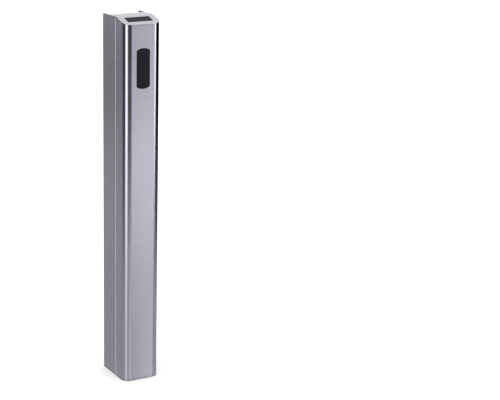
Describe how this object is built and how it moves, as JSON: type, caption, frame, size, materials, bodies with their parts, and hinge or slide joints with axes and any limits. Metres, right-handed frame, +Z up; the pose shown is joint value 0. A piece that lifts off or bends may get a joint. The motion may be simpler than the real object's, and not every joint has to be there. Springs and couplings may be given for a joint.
{
  "type": "ticket reader column",
  "caption": "Slim stainless-steel ticket reader column with a scanner window in its sloped cap, a display in its front and a removable front cover.",
  "frame": {"origin": "middle of the bounding box at floor level", "axes": "+Z up, -Y towards the user (front face), +X to the right across the front as drawn from the front"},
  "size_m": [0.108, 0.13, 1],
  "materials": {
    "brushed_stainless": "vertical brushed satin",
    "polished_stainless": "bright polished",
    "zinc_plated_steel": "bright zinc plating",
    "smoked_acrylic": "smoked, polished",
    "red_glass": "dark red, polished",
    "black_plastic": "moulded matt",
    "white_plastic": "opal",
    "circuit_board": "solder resist",
    "led_chip": "moulded",
    "rubber": "matt",
    "brass": "turned",
    "magnet_ferrite": "ground",
    "case_aluminium": "satin",
    "grey_plastic": "moulded matt",
    "blue_plastic": "moulded",
    "red_plastic": "moulded",
    "wire_sheath": "extruded"
  },
  "bodies": {
    "column": {"base_plate": "zinc_plated_steel", "base_gussets": "zinc_plated_steel", "left_side_panel": "brushed_stainless", "right_side_panel": "brushed_stainless", "left_seam_strip": "polished_stainless", "right_seam_strip": "polished_stainless", "left_rail": "zinc_plated_steel", "right_rail": "zinc_plated_steel", "left_gasket": "rubber", "right_gasket": "rubber", "guide_bushes": "brass", "catch_magnets": "magnet_ferrite", "mounting_web": "zinc_plated_steel", "cable_grommets": "rubber", "equipment_plate": "zinc_plated_steel", "plate_spacers": "brass", "plate_screws": "polished_stainless", "control_board": "circuit_board", "board_parts": "black_plastic", "board_standoffs": "brass", "power_supply": "case_aluminium", "din_rail": "zinc_plated_steel", "terminal_blocks": "grey_plastic", "circuit_breaker": "white_plastic", "supply_wires": "wire_sheath", "board_wires": "wire_sheath", "scanner_lead": "wire_sheath", "lead_clip": "white_plastic", "earth_stud": "polished_stainless", "scanner_bracket": "zinc_plated_steel", "bracket_screws": "polished_stainless", "scanner_pivots": "polished_stainless", "tamper_switch": "black_plastic"},
    "cover": {"front_cover": "brushed_stainless", "top_cap": "brushed_stainless", "window_gasket": "rubber", "window_pane": "red_glass", "window_clamp": "zinc_plated_steel", "window_nuts": "zinc_plated_steel", "display_lens": "smoked_acrylic", "display_gasket": "rubber", "display_mask": "black_plastic", "display_diffuser": "white_plastic", "display_housing": "black_plastic", "led_board": "circuit_board", "display_leds": "led_chip", "display_studs": "zinc_plated_steel", "display_nuts": "zinc_plated_steel", "cover_stiffeners": "zinc_plated_steel", "cover_pegs": "polished_stainless", "striker_plates": "zinc_plated_steel"},
    "scanner": {"scanner_housing": "black_plastic", "scanner_glass": "red_glass", "scanner_lens": "black_plastic", "scanner_leds": "led_chip", "scanner_board": "circuit_board", "scanner_rear_cover": "black_plastic", "scanner_socket": "white_plastic"},
    "tamper_plunger": {"tamper_plunger": "red_plastic"},
    "breaker_lever": {"breaker_lever": "blue_plastic"}
  },
  "joints": [
    {"name": "cover_pull", "type": "slide", "parent": "column", "child": "cover", "axis": [0, -1, 0], "range_m": [0, 0.12]},
    {"name": "scanner_tilt", "type": "hinge", "parent": "column", "child": "scanner", "pos_m": [0, -0.02658, 0.95882], "axis": [1, 0, 0], "range_deg": [-8, 8]},
    {"name": "tamper_press", "type": "slide", "parent": "column", "child": "tamper_plunger", "axis": [0, 1, 0], "range_m": [0, 0.0025], "stiffness_N_per_m": 150, "springref_m": -0.002},
    {"name": "breaker_switch", "type": "hinge", "parent": "column", "child": "breaker_lever", "pos_m": [0.015, -0.031, 0.3], "axis": [1, 0, 0], "range_deg": [0, 50]}
  ]
}
